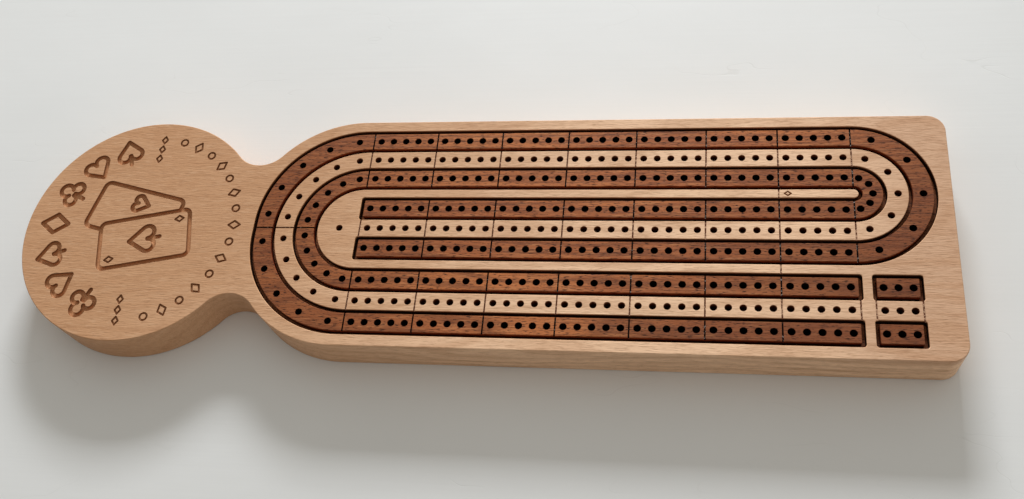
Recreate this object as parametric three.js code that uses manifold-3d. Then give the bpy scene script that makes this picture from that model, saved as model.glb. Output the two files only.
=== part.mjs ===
// Cribbage board: a paddle-shaped slab of hard maple with three lanes of peg holes.
// The outer and inner lanes are walnut strips let into pockets in the maple; the middle
// lane is the maple itself. A long pocket in the underside, closed by a sliding steel
// door, stores nine metal pegs.
//
// Frame: millimetres, +X from the round head to the square tail, +Z up, origin at the
// centre of the underside. Rows of holes run along X and are stacked along Y.

import * as THREE from 'three';
import { mergeVertices } from 'three/addons/utils/BufferGeometryUtils.js';
import Module from 'manifold-3d';

const wasm = await Module();
wasm.setup();

// Board outline
const BOARD_LENGTH = 517.4;
const BODY_HALF_WIDTH = 70;
const BOARD_THICKNESS = 25;
const HEAD_RADIUS = 70.8;
const SHOULDER_Y = 6;
const SHOULDER_RADIUS = BODY_HALF_WIDTH - SHOULDER_Y;
const NECK_FILLET_RADIUS = 17.5;
const TAIL_CORNER_RADIUS = 9.5;
const HEAD_X = -BOARD_LENGTH / 2 + HEAD_RADIUS;
const TAIL_X = BOARD_LENGTH / 2;
const SHOULDER_X = -59.9;

// Track layout: seven groups of five holes on each straight, and a turn at each end
const HOLE_PITCH = 7.33;
const HOLES_PER_GROUP = 5;
const GROUP_PITCH = 37.72;
const GROUPS = 7;
const LANE_PITCH = 12.39;
const BAR_PITCH = 19.26;
const LEFT_TURN_X = -54.1;
const LEFT_TURN_HOLES = 10;
const RIGHT_TURN_HOLES = 5;
const RIGHT_TURN_X = LEFT_TURN_X + GROUPS * GROUP_PITCH;
const RIGHT_TURN_Y = LANE_PITCH + BAR_PITCH / 2;
const INNER_TURN_RADIUS = LANE_PITCH + BAR_PITCH;
const MIDDLE_TURN_RADIUS = INNER_TURN_RADIUS + LANE_PITCH;
const OUTER_TURN_RADIUS = MIDDLE_TURN_RADIUS + LANE_PITCH;
const FINISH_HOLE_X = LEFT_TURN_X - 11.9;

// The outer lane bends round the left turn in two arcs, centred a little to the left of
// the other lanes' turns and off the middle line
const OUTER_BEND_SHIFT = 3.3;
const OUTER_BEND_Y = 4;

// Start holes: three beside the tail end of each lane
const START_BLOCK_X = RIGHT_TURN_X + 18.3;
const START_HOLE_PITCH = 7.07;
const START_HOLES = 3;

// Peg holes, drilled blind from the top
const HOLE_RADIUS = 1.85;
const HOLE_DEPTH = 8.5;
const HOLE_SIDES = 8;

// Walnut strips: a foot that fills the pocket and a narrower face standing between two grooves
const POCKET_HALF_WIDTH = 7.2;
const POCKET_DEPTH = 9.5;
const POCKET_OVERRUN = 1.6;
const POCKET_CORNER_RADIUS = 1.6;
const START_POCKET_LENGTH = 24.4;
const GROOVE_WIDTH = 2.1;
const GROOVE_DEPTH = 4.5;
const GLUE_LINE = 0.1;

// Peg store in the underside, with an undercut track for its door on both long sides
const STORE_X = -20;
const STORE_LENGTH = 96;
const STORE_HALF_WIDTH = 12;
const STORE_DEPTH = 13.2;
const STORE_CORNER_RADIUS = 3;
const DOOR_THICKNESS = 1;
const DOOR_OVERLAP = 3;
const DOOR_HALF_WIDTH = 14.7;
const DOOR_BOTTOM = 2;
const DOOR_CLEARANCE = 0.3;
const DOOR_LIP_HALF_WIDTH = 8;
const DOOR_LIP_BOTTOM = 0.5;
const DOOR_TRAVEL = STORE_LENGTH;
const DOOR_X = STORE_X - DOOR_OVERLAP;
const DOOR_END_X = STORE_X + STORE_LENGTH + DOOR_OVERLAP;

// Pegs lie in the store in three columns of three
const PEG_LENGTH = 28;
const PEG_SHANK_LENGTH = 14;
const PEG_TIP_RADIUS = 1.2;
const PEG_SHANK_RADIUS = 1.5;
const PEG_WAIST_RADIUS = 1.7;
const PEG_HEAD_RADIUS = 2.4;
const PEG_SIDES = 8;
const PEG_COLUMNS = 3;
const PEG_GAP = (STORE_LENGTH - PEG_COLUMNS * PEG_LENGTH) / (PEG_COLUMNS + 1);
const PEG_ROW_PITCH = 6;
const PEG_WALL_GAP = 1.4;
const FIRST_PEG_ROW_Y = -STORE_HALF_WIDTH + PEG_HEAD_RADIUS + PEG_WALL_GAP;
const PEG_AXIS_Z = DOOR_BOTTOM + DOOR_THICKNESS + DOOR_CLEARANCE + PEG_HEAD_RADIUS;

const CUT_MARGIN = 1;
const MERGE_TOLERANCE = 1e-4;
const QUARTER_TURN = Math.PI / 2;

const maple = new THREE.MeshStandardMaterial({ color: 0xc9a27c, roughness: 0.55, metalness: 0 });
const walnut = new THREE.MeshStandardMaterial({ color: 0x7c4a33, roughness: 0.55, metalness: 0 });
const steel = new THREE.MeshStandardMaterial({ color: 0xb4b6b8, roughness: 0.35, metalness: 1 });
const pegMaterials = {
  brass: new THREE.MeshStandardMaterial({ color: 0xc9a24a, roughness: 0.25, metalness: 1 }),
  nickel: new THREE.MeshStandardMaterial({ color: 0xc8c8c6, roughness: 0.2, metalness: 1 }),
  black: new THREE.MeshStandardMaterial({ color: 0x202124, roughness: 0.35, metalness: 0.6 }),
};

// ---- Solids ----

function toSolid(geometry) {
  geometry.deleteAttribute('normal');
  geometry.deleteAttribute('uv');
  const merged = mergeVertices(geometry, MERGE_TOLERANCE);
  return new wasm.Manifold(new wasm.Mesh({
    numProp: 3,
    vertProperties: new Float32Array(merged.attributes.position.array),
    triVerts: new Uint32Array(merged.index.array),
  }));
}

function toMesh(name, solid, material) {
  const result = solid.getMesh();
  const geometry = new THREE.BufferGeometry();
  geometry.setAttribute('position', new THREE.BufferAttribute(result.vertProperties, 3));
  geometry.setIndex(new THREE.BufferAttribute(result.triVerts, 1));
  geometry.computeVertexNormals();
  const mesh = new THREE.Mesh(geometry, material);
  mesh.name = name;
  return mesh;
}

// An outline raised from z = bottom to z = top
function raise(points, bottom, top) {
  const geometry = new THREE.ExtrudeGeometry(new THREE.Shape(points), {
    depth: top - bottom,
    bevelEnabled: false,
  });
  geometry.translate(0, 0, bottom);
  return toSolid(geometry);
}

// ---- Outlines ----

// Points on an arc from one angle to another; the sign of the sweep sets its direction
function arc(x, y, radius, from, to, segments) {
  const points = [];
  for (let i = 0; i <= segments; i += 1) {
    const angle = from + ((to - from) * i) / segments;
    points.push(new THREE.Vector2(x + radius * Math.cos(angle), y + radius * Math.sin(angle)));
  }
  return points;
}

function roundedRectangle(lowX, highX, lowY, highY, radius) {
  const steps = 3;
  return [
    ...arc(highX - radius, lowY + radius, radius, -QUARTER_TURN, 0, steps),
    ...arc(highX - radius, highY - radius, radius, 0, QUARTER_TURN, steps),
    ...arc(lowX + radius, highY - radius, radius, QUARTER_TURN, 2 * QUARTER_TURN, steps),
    ...arc(lowX + radius, lowY + radius, radius, 2 * QUARTER_TURN, 3 * QUARTER_TURN, steps),
  ];
}

// Head circle, neck fillets tangent to head and shoulders, straight sides and a square tail.
// The shoulders' arcs are centred a little to each side of the middle line.
function boardOutline() {
  const span = Math.hypot(SHOULDER_X - HEAD_X, SHOULDER_Y);
  const tilt = Math.atan2(SHOULDER_Y, SHOULDER_X - HEAD_X);
  const toHead = HEAD_RADIUS + NECK_FILLET_RADIUS;
  const toShoulder = SHOULDER_RADIUS + NECK_FILLET_RADIUS;
  const along = (toHead ** 2 - toShoulder ** 2 + span ** 2) / (2 * span);
  const headAngle = tilt + Math.acos(along / toHead);
  const neckX = HEAD_X + toHead * Math.cos(headAngle);
  const neckY = toHead * Math.sin(headAngle);
  const shoulderAngle = Math.atan2(neckY - SHOULDER_Y, neckX - SHOULDER_X);
  const cornerX = TAIL_X - TAIL_CORNER_RADIUS;
  const cornerY = BODY_HALF_WIDTH - TAIL_CORNER_RADIUS;
  const upperHalf = [
    ...arc(cornerX, cornerY, TAIL_CORNER_RADIUS, 0, QUARTER_TURN, 6),
    ...arc(SHOULDER_X, SHOULDER_Y, SHOULDER_RADIUS, QUARTER_TURN, shoulderAngle, 12),
    ...arc(neckX, neckY, NECK_FILLET_RADIUS, shoulderAngle - Math.PI, headAngle - Math.PI, 12).slice(1),
    ...arc(HEAD_X, 0, HEAD_RADIUS, headAngle, Math.PI, 26).slice(1),
  ];
  const lowerHalf = upperHalf.slice(0, -1).reverse().map((p) => new THREE.Vector2(p.x, -p.y));
  return [...upperHalf, ...lowerHalf];
}

// How far the outer lane's holes stand from the centre of the left turn, at an angle
function outerReach(angle) {
  const radius = OUTER_TURN_RADIUS - OUTER_BEND_Y;
  const along = OUTER_BEND_Y * Math.abs(Math.sin(angle)) - OUTER_BEND_SHIFT * Math.cos(angle);
  return along + Math.sqrt(radius ** 2 - OUTER_BEND_SHIFT ** 2 - OUTER_BEND_Y ** 2 + along ** 2);
}

// The outer edge of a lane round the left turn, from its near end to its far end
function leftTurnEdge(turnRadius, radius) {
  if (turnRadius < OUTER_TURN_RADIUS) {
    return arc(LEFT_TURN_X, 0, radius, -QUARTER_TURN, -3 * QUARTER_TURN, 28);
  }
  const x = LEFT_TURN_X - OUTER_BEND_SHIFT;
  const bend = radius - OUTER_BEND_Y;
  return [
    ...arc(x, -OUTER_BEND_Y, bend, -QUARTER_TURN, -2 * QUARTER_TURN, 14),
    ...arc(x, OUTER_BEND_Y, bend, -2 * QUARTER_TURN, -3 * QUARTER_TURN, 14),
  ];
}

// The band that a lane covers: along its lowest row to the left turn, back along its
// upper row to the right turn, and left again along its last row. Both ends are rounded
// a little, as a router leaves them.
function laneBand(turnRadius, halfWidth, inset) {
  const rightRadius = turnRadius - RIGHT_TURN_Y;
  const lastRowY = 2 * RIGHT_TURN_Y - turnRadius;
  const startX = RIGHT_TURN_X + POCKET_OVERRUN - inset;
  const endX = LEFT_TURN_X - POCKET_OVERRUN + inset;
  const corner = POCKET_CORNER_RADIUS - inset / 2;
  const steps = 2;
  const turnSteps = 28;
  const outer = turnRadius + halfWidth;
  const inner = turnRadius - halfWidth;
  return [
    ...arc(startX - corner, -inner - corner, corner, QUARTER_TURN, 0, steps),
    ...arc(startX - corner, -outer + corner, corner, 0, -QUARTER_TURN, steps),
    ...leftTurnEdge(turnRadius, outer),
    ...arc(RIGHT_TURN_X, RIGHT_TURN_Y, rightRadius + halfWidth, QUARTER_TURN, -QUARTER_TURN, turnSteps),
    ...arc(endX + corner, lastRowY - halfWidth + corner, corner, -QUARTER_TURN, -2 * QUARTER_TURN, steps),
    ...arc(endX + corner, lastRowY + halfWidth - corner, corner, 2 * QUARTER_TURN, QUARTER_TURN, steps),
    ...arc(RIGHT_TURN_X, RIGHT_TURN_Y, rightRadius - halfWidth, -QUARTER_TURN, QUARTER_TURN, turnSteps),
    ...arc(LEFT_TURN_X, 0, inner, -3 * QUARTER_TURN, -QUARTER_TURN, turnSteps),
  ];
}

function startBand(rowY, halfWidth, inset) {
  const halfLength = START_POCKET_LENGTH / 2 - inset;
  const corner = POCKET_CORNER_RADIUS - inset / 2;
  return roundedRectangle(
    START_BLOCK_X - halfLength,
    START_BLOCK_X + halfLength,
    rowY - halfWidth,
    rowY + halfWidth,
    corner,
  );
}

// ---- Peg holes ----

function laneHoles(turnRadius) {
  const rightRadius = turnRadius - RIGHT_TURN_Y;
  const rows = [-turnRadius, turnRadius, 2 * RIGHT_TURN_Y - turnRadius];
  const groupStart = (GROUP_PITCH - (HOLES_PER_GROUP - 1) * HOLE_PITCH) / 2;
  const holes = [];
  for (const y of rows) {
    for (let group = 0; group < GROUPS; group += 1) {
      for (let i = 0; i < HOLES_PER_GROUP; i += 1) {
        holes.push([LEFT_TURN_X + group * GROUP_PITCH + groupStart + i * HOLE_PITCH, y]);
      }
    }
  }
  for (let i = 0; i < LEFT_TURN_HOLES; i += 1) {
    const angle = QUARTER_TURN + ((i + 0.5) * Math.PI) / LEFT_TURN_HOLES;
    const reach = turnRadius < OUTER_TURN_RADIUS ? turnRadius : outerReach(angle);
    holes.push([LEFT_TURN_X + reach * Math.cos(angle), reach * Math.sin(angle)]);
  }
  for (let i = 0; i < RIGHT_TURN_HOLES; i += 1) {
    const angle = QUARTER_TURN - ((i + 0.5) * Math.PI) / RIGHT_TURN_HOLES;
    holes.push([
      RIGHT_TURN_X + rightRadius * Math.cos(angle),
      RIGHT_TURN_Y + rightRadius * Math.sin(angle),
    ]);
  }
  return holes;
}

function startHoles(rowY) {
  return Array.from({ length: START_HOLES }, (_, i) => [
    START_BLOCK_X + (i - (START_HOLES - 1) / 2) * START_HOLE_PITCH,
    rowY,
  ]);
}

function drill(solid, holes) {
  const top = BOARD_THICKNESS + CUT_MARGIN;
  const bottom = BOARD_THICKNESS - HOLE_DEPTH;
  const drills = holes.map(([x, y]) => {
    const outline = arc(x, y, HOLE_RADIUS, 0, 2 * Math.PI, HOLE_SIDES).slice(0, -1);
    return raise(outline, bottom, top);
  });
  return solid.subtract(wasm.Manifold.union(drills));
}

// ---- Board ----

function storeCut() {
  const trackEnd = DOOR_END_X + DOOR_TRAVEL + DOOR_CLEARANCE;
  const trackFloor = DOOR_BOTTOM + DOOR_THICKNESS + DOOR_CLEARANCE;
  const pocket = roundedRectangle(
    STORE_X,
    STORE_X + STORE_LENGTH,
    -STORE_HALF_WIDTH,
    STORE_HALF_WIDTH,
    STORE_CORNER_RADIUS,
  );
  const slot = roundedRectangle(
    STORE_X,
    trackEnd,
    -STORE_HALF_WIDTH,
    STORE_HALF_WIDTH,
    STORE_CORNER_RADIUS,
  );
  const undercut = roundedRectangle(
    DOOR_X - DOOR_CLEARANCE,
    trackEnd,
    -DOOR_HALF_WIDTH - DOOR_CLEARANCE,
    DOOR_HALF_WIDTH + DOOR_CLEARANCE,
    DOOR_CLEARANCE,
  );
  return raise(pocket, -CUT_MARGIN, STORE_DEPTH)
    .add(raise(slot, -CUT_MARGIN, trackFloor))
    .add(raise(undercut, DOOR_BOTTOM - DOOR_CLEARANCE, trackFloor));
}

function boardBody() {
  const pocketFloor = BOARD_THICKNESS - POCKET_DEPTH;
  const pockets = [
    laneBand(OUTER_TURN_RADIUS, POCKET_HALF_WIDTH, 0),
    laneBand(INNER_TURN_RADIUS, POCKET_HALF_WIDTH, 0),
    startBand(-OUTER_TURN_RADIUS, POCKET_HALF_WIDTH, 0),
    startBand(-INNER_TURN_RADIUS, POCKET_HALF_WIDTH, 0),
  ];
  let solid = raise(boardOutline(), 0, BOARD_THICKNESS);
  for (const pocket of pockets) {
    solid = solid.subtract(raise(pocket, pocketFloor, BOARD_THICKNESS + CUT_MARGIN));
  }
  solid = solid.subtract(storeCut());
  return drill(solid, [
    ...laneHoles(MIDDLE_TURN_RADIUS),
    ...startHoles(-MIDDLE_TURN_RADIUS),
    [FINISH_HOLE_X, 0],
  ]);
}

// A strip's foot is a glue line smaller than its pocket; its face is a groove smaller
function inlay(band, holes) {
  const foot = band(POCKET_HALF_WIDTH - GLUE_LINE, GLUE_LINE);
  const face = band(POCKET_HALF_WIDTH - GROOVE_WIDTH, GROOVE_WIDTH);
  const floor = BOARD_THICKNESS - POCKET_DEPTH + GLUE_LINE;
  const grooveFloor = BOARD_THICKNESS - GROOVE_DEPTH;
  const solid = raise(foot, floor, grooveFloor).add(raise(face, floor, BOARD_THICKNESS));
  return drill(solid, holes);
}

function laneInlay(turnRadius) {
  return inlay((halfWidth, inset) => laneBand(turnRadius, halfWidth, inset), laneHoles(turnRadius));
}

function startInlay(rowY) {
  return inlay((halfWidth, inset) => startBand(rowY, halfWidth, inset), startHoles(rowY));
}

// ---- Peg store door: a sheet with its tail edge folded down for the fingertip ----

function storeDoor() {
  const sheet = roundedRectangle(DOOR_X, DOOR_END_X, -DOOR_HALF_WIDTH, DOOR_HALF_WIDTH, 1);
  const lip = [
    new THREE.Vector2(DOOR_END_X - DOOR_THICKNESS, -DOOR_LIP_HALF_WIDTH),
    new THREE.Vector2(DOOR_END_X, -DOOR_LIP_HALF_WIDTH),
    new THREE.Vector2(DOOR_END_X, DOOR_LIP_HALF_WIDTH),
    new THREE.Vector2(DOOR_END_X - DOOR_THICKNESS, DOOR_LIP_HALF_WIDTH),
  ];
  const sheetTop = DOOR_BOTTOM + DOOR_THICKNESS;
  return raise(sheet, DOOR_BOTTOM, sheetTop).add(raise(lip, DOOR_LIP_BOTTOM, sheetTop));
}

// ---- Pegs: turned about their own axis, laid down along X ----

function peg() {
  const headLength = PEG_LENGTH - PEG_SHANK_LENGTH;
  const profile = [
    new THREE.Vector2(0, 0),
    new THREE.Vector2(PEG_TIP_RADIUS, 0),
    new THREE.Vector2(PEG_SHANK_RADIUS, PEG_SHANK_LENGTH),
    new THREE.Vector2(PEG_HEAD_RADIUS, PEG_SHANK_LENGTH + headLength * 0.05),
    new THREE.Vector2(PEG_HEAD_RADIUS, PEG_SHANK_LENGTH + headLength * 0.15),
    new THREE.Vector2(PEG_WAIST_RADIUS, PEG_SHANK_LENGTH + headLength * 0.4),
    new THREE.Vector2(PEG_HEAD_RADIUS, PEG_SHANK_LENGTH + headLength * 0.85),
    new THREE.Vector2(PEG_WAIST_RADIUS, PEG_LENGTH),
    new THREE.Vector2(0, PEG_LENGTH),
  ];
  const geometry = new THREE.LatheGeometry(profile, PEG_SIDES);
  geometry.rotateZ(-QUARTER_TURN);
  return toSolid(geometry);
}

// ---- Assembly ----

const board = new THREE.Group();
board.add(toMesh('board_body', boardBody(), maple));
board.add(toMesh('outer_lane_inlay', laneInlay(OUTER_TURN_RADIUS), walnut));
board.add(toMesh('inner_lane_inlay', laneInlay(INNER_TURN_RADIUS), walnut));
board.add(toMesh('outer_start_inlay', startInlay(-OUTER_TURN_RADIUS), walnut));
board.add(toMesh('inner_start_inlay', startInlay(-INNER_TURN_RADIUS), walnut));
board.add(toMesh('peg_store_door', storeDoor(), steel));

Object.entries(pegMaterials).forEach(([finish, material], row) => {
  for (let column = 0; column < PEG_COLUMNS; column += 1) {
    const mesh = toMesh(`peg_${finish}_${column + 1}`, peg(), material);
    mesh.position.set(
      STORE_X + PEG_GAP + column * (PEG_LENGTH + PEG_GAP),
      FIRST_PEG_ROW_Y + row * PEG_ROW_PITCH,
      PEG_AXIS_Z,
    );
    board.add(mesh);
  }
});

export default board;
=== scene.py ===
import math
from functools import partial

import bpy
from mathutils import Matrix, Vector


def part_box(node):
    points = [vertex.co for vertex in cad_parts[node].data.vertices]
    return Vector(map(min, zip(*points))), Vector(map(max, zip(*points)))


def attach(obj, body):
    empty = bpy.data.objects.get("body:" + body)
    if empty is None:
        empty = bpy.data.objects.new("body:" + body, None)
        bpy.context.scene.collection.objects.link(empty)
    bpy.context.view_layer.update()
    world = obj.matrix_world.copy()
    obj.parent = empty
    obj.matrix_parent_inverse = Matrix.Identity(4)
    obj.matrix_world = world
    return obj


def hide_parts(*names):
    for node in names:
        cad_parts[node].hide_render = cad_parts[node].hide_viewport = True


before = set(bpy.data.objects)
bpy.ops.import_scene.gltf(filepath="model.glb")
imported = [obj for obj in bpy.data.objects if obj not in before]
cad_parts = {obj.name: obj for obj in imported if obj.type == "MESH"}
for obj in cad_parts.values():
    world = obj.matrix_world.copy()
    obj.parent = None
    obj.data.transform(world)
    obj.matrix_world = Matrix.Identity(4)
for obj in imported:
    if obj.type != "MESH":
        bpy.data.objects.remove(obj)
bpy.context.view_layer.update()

# ---------------------------------------------------------------------------------------
# Driving dimensions in millimetres, in the frame of the board: +X from the round head to
# the square tail, origin at the centre of the underside. MM turns them into metres.
# ---------------------------------------------------------------------------------------
MM = 0.001
BOARD_LOW, BOARD_HIGH = [Vector(corner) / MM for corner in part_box("board_body")]
TOP = BOARD_HIGH.z
HALF_WIDTH = 70
TAIL_X = BOARD_HIGH.x
HEAD_RADIUS = 70.8
HEAD_X = BOARD_LOW.x + HEAD_RADIUS
SHOULDER_X = -59.9
SHOULDER_Y = 6
NECK_FILLET = 17.5
TAIL_CORNER = 9.5

# The lanes. A turn is the distance of a lane's straight rows from the board's middle line.
HOLE_PITCH = 7.33
HOLES_PER_GROUP = 5
GROUP_PITCH = 37.72
GROUPS = 7
LANE_PITCH = 12.39
BAR_PITCH = 19.26
LEFT_TURN_X = -54.1
LEFT_TURN_HOLES = 10
RIGHT_TURN_HOLES = 5
RIGHT_TURN_X = LEFT_TURN_X + GROUPS * GROUP_PITCH
RIGHT_TURN_Y = LANE_PITCH + BAR_PITCH / 2
INNER_TURN = LANE_PITCH + BAR_PITCH
MIDDLE_TURN = INNER_TURN + LANE_PITCH
OUTER_TURN = MIDDLE_TURN + LANE_PITCH
FINISH_HOLE_X = LEFT_TURN_X - 11.9
OUTER_BEND_SHIFT = 3.3
OUTER_BEND_Y = 4
START_BLOCK_X = RIGHT_TURN_X + 18.3
START_HOLE_PITCH = 7.07
START_HOLES = 3
SKUNK_GROUP = 6
SKUNK_LINE_X = LEFT_TURN_X + SKUNK_GROUP * GROUP_PITCH

HOLE_RADIUS = 1.85
HOLE_DEPTH = 8.5
HOLE_CHAMFER = 0.15
HOLE_CONE_HEIGHT = 0.9
HOLE_TIP_SHARE = 0.08
HOLE_SIDES = 28

POCKET_HALF = 7.2
POCKET_DEPTH = 9.5
POCKET_OVERRUN = 1.6
POCKET_CORNER = 1.6
START_POCKET_LENGTH = 24.4
START_SCRIBE_OFFSET = 11
GROOVE_WIDTH = 2.1
GROOVE_DEPTH = 4.5
GLUE_LINE = 0.1
ARRIS = 0.22
EDGE_ROUND = 0.6

SCRIBE_WIDTH = 0.85
SCRIBE_DEPTH = 0.9
MAPLE_SCRIBE_OVERRUN = 0.8
WALNUT_SCRIBE_OVERRUN = 0.6

STORE_X = -20
STORE_LENGTH = 96
STORE_HALF = 12
STORE_DEPTH = 13.2
STORE_CORNER = 3
DOOR_LOW, DOOR_HIGH = [Vector(corner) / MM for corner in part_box("peg_store_door")]
DOOR_SHEET_LOW = 2.0
DOOR_THICKNESS = 1.0
DOOR_CLEARANCE = 0.3
DOOR_LIP_HALF = 8
DOOR_CORNER = 1.0
DOOR_EASE = 0.15
DOOR_TRAVEL = STORE_LENGTH

PEG_LENGTH = 28
PEG_SHANK = 14
PEG_TIP_RADIUS = 1.2
PEG_SHANK_RADIUS = 1.5
PEG_WAIST_RADIUS = 1.7
PEG_HEAD_RADIUS = 2.4
PEG_COLLAR = (0.05, 0.15)
PEG_WAIST = 0.4
PEG_GRIP = 0.85
PEG_EASE = 0.8
PEG_CREASE = 40
PEG_SIDES = 40
PEG_FINISHES = ("brass", "nickel", "black")
PEGS_PER_FINISH = 3

# The engraving on the head. Angles are in degrees. A cut is its (width, depth), a card its
# (x, y, angle) about the centre of the head, and a pip its (x, y, size) on its card.
SUIT_SIZE = 8.3
SUIT_RADIUS = 53.0
SUIT_FIRST = 110
SUIT_STEP = 22.7
MARK_SIZE = 3.5
MARK_RADIUS = 59.0
MARK_FIRST = 75
MARK_STEP = 10.5
MARKS = 15
COLUMN_ANGLES = (88, 272)
COLUMN_RADII = (46.0, 52.5, 59.0)
COLUMN_MARK_SIZE = MARK_SIZE * 0.68
BOLD = (2.7, 2.5)
FINE = (1.15, 1.2)
CARD_HALF = (15.0, 27.0)
CARD_CORNER = 3.5
CARD_GAP = 0.3
CARD_SHORTEST_RUN = 3
CORNER_PIP = (9.6, 20.8, 2.6)
FRONT_CARD = (6.0, -8.0, 101)
BACK_CARD = (-4.5, 9.0, 76)
BACK_PIP = (6.4, -1.0, 5.6)
FRONT_PIP = 9.2
SKUNK_MARK_OFFSET = 4.6
SKUNK_MARK_SIZE = 1.7
SKUNK_MARK_CUT = (0.8, 0.9)

# An engraved cut's section: how much narrower it is and how deep, in shares of its depth,
# then the height and width of the eased lip and the narrowest that its floor may be.
ENGRAVED_FOOT = ((0.38, 1.0), (0.12, 0.86), (0.0, 0.6))
ENGRAVED_LIP_HEIGHT = 0.12
ENGRAVED_LIP_WIDTH = 0.24
ENGRAVED_FLOOR = 0.2
ENGRAVED_STEP = 0.8
MITRE_LIMIT = 0.5

# Easing a corner takes at most one part in this many of the lines beside it.
SOFT_SIDE_LIMIT = 2.2

# How many straight pieces each curve is made of
CORNER_STEPS = 6
TAIL_STEPS = 12
SHOULDER_STEPS = 36
NECK_STEPS = 30
HEAD_STEPS = 90
LEFT_TURN_STEPS = 120
RIGHT_TURN_STEPS = 90
EDGE_STEPS = 5
SOFT_STEPS = 6
TIP_STEPS = 10
LOBE_STEPS = 18
CLUB_STEPS = 22
RING_STEPS = 12

QUARTER = math.pi / 2
CUT_MARGIN = 1.0
STEEP_NORMAL = 0.5
CREASE = 35
NORMAL_WEIGHT = 100

# Linear colours
MAPLE_BROWN = (0.62, 0.345, 0.185)
MAPLE_PALE = (0.95, 0.63, 0.405)
MAPLE_TAIL_TOP_TONE_AND_SHADE = (0.66, 0.40, 0.25)
MAPLE_RING = (0.54, 0.275, 0.135)
MAPLE_BAND = (0.44, 0.21, 0.095)
MAPLE_GRAIN = (0.38, 0.18, 0.085)
MAPLE_SHIMMER = (0.88, 0.62, 0.41)
MAPLE_FLECK = (0.30, 0.13, 0.06)
WALNUT_RED = (0.40, 0.122, 0.04)
WALNUT_WARM = (0.52, 0.172, 0.055)
WALNUT_RING = (0.115, 0.034, 0.014)
WALNUT_STREAK = (0.08, 0.024, 0.012)
WALNUT_GLOW = (0.68, 0.29, 0.115)
WALNUT_SHADE = (0.15, 0.046, 0.02)
WALNUT_PORE = (0.03, 0.01, 0.006)
STEEL_DARK = (0.50, 0.51, 0.52)
STEEL_LIGHT = (0.66, 0.67, 0.68)
FLOOR_COOL = (0.785, 0.795, 0.785)
FLOOR_PALE = (0.815, 0.825, 0.815)
FLOOR_SCRATCH = (0.60, 0.60, 0.58)

# Wood inside a cut, with light and shade painted on by depth: tints of its mouth, wall and
# foot, then the depths where the mouth ends and the foot begins. A tint above 1 paints a
# highlight on the eased mouth and one below 1 paints shade: the walls are painted dark, and
# the feet of the pockets, bores and the walnut's sides near black. The maple bore's reddish
# wall is painted shade, reddened to stand in for light bounced inside the bore.
MAPLE_CUT_PAINTED_HIGHLIGHT_AND_SHADE = ((1.3, 1.27, 1.22), (0.4, 0.3, 0.22), (0.03, 0.02, 0.015), 0.4, 2.2)
MAPLE_BORE_PAINTED_SHADE = ((1.0, 1.0, 1.0), (0.34, 0.16, 0.09), (0.1, 0.035, 0.018), 0.16, 2.6)
MAPLE_ENGRAVED_PAINTED_SHADE = ((1.0, 1.0, 1.0), (0.36, 0.25, 0.18), (0.95, 0.85, 0.76), 0.3, 2.2)
WALNUT_SIDE_PAINTED_SHADE = ((1.0, 1.0, 1.0), (1.0, 0.52, 0.44), (0.02, 0.012, 0.012), 0.3, 3.6)
WALNUT_BORE_PAINTED_SHADE = ((0.3, 0.2, 0.18), (0.1, 0.05, 0.045), (0.02, 0.012, 0.012), 0.06, 1.2)
MOUTH_BLEND = 0.6

# Scribed lines: the colour of their floor, partly the line's own dark and partly painted
# shade of the narrow cut, that of the dust in them and how whole they are
MAPLE_SCRIBED_PAINTED_SHADE_AND_DUST = ((0.2, 0.075, 0.04), (0.70, 0.46, 0.30), 0.59)
WALNUT_SCRIBED_PAINTED_SHADE_AND_DUST = ((0.003, 0.002, 0.002), (0.40, 0.33, 0.29), 0.64)
DUST_BLEND = 0.03

# Peg metals: fresh colour, handled colour and roughness, then how metallic if not wholly
PEG_METALS = {
    "brass": ((0.80, 0.56, 0.20), (0.62, 0.40, 0.13), 0.2),
    "nickel": ((0.74, 0.72, 0.68), (0.60, 0.58, 0.55), 0.16),
    "black": ((0.018, 0.018, 0.02), (0.035, 0.035, 0.036), 0.32, 0.3),
}

# Growth rings waver over long and short cells. The short waves are a share of the long.
RING_LONG_WAVE = (170, 46, 46)
RING_SHORT_WAVE = (38, 9, 9)
RING_SHORT_SHARE = 0.12

FLOOR_HALF = 6000
FLOOR_DROP = 0.3

CAMERA_PLACE = (132.0, -260.35, 513.2)
CAMERA_TARGET = (32.9, -12.55, 25.0)
CAMERA_ROLL = -18.79
CAMERA_LENS = 36.6
CAMERA_SENSOR = 36.0
CAMERA_CLIP = 0.01

# The light: a window in metres and watts, and a room that is brighter towards one side
WINDOW_PLACE = (-0.1, 2.6, 1.14)
WINDOW_SIZE = (0.95, 0.5)
WINDOW_POWER = 81
WINDOW_COLOUR = (0.93, 0.96, 1.0)
ROOM_STRENGTH = 0.56
ROOM_BRIGHT_SIDE = (0.5, 0.87, 0.0)
ROOM_BLEND = (-0.85, 0.25)
ROOM_DIM = (0.36, 0.335, 0.30)
ROOM_BRIGHT = (1.0, 0.965, 0.895)


# ---------------------------------------------------------------------------------------
# Outlines, as lists of (x, y) in millimetres
# ---------------------------------------------------------------------------------------
def arc(x, y, radius, start, end, steps):
    turn = (end - start) / steps
    return [
        (x + radius * math.cos(start + i * turn), y + radius * math.sin(start + i * turn))
        for i in range(steps + 1)
    ]


def rounded_rectangle(low_x, high_x, low_y, high_y, radius):
    points = []
    corners = [
        (high_x - radius, low_y + radius, -1),
        (high_x - radius, high_y - radius, 0),
        (low_x + radius, high_y - radius, 1),
        (low_x + radius, low_y + radius, 2),
    ]
    for x, y, quarter in corners:
        start = quarter * QUARTER
        points += arc(x, y, radius, start, (quarter + 1) * QUARTER, CORNER_STEPS)
    return points


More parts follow.
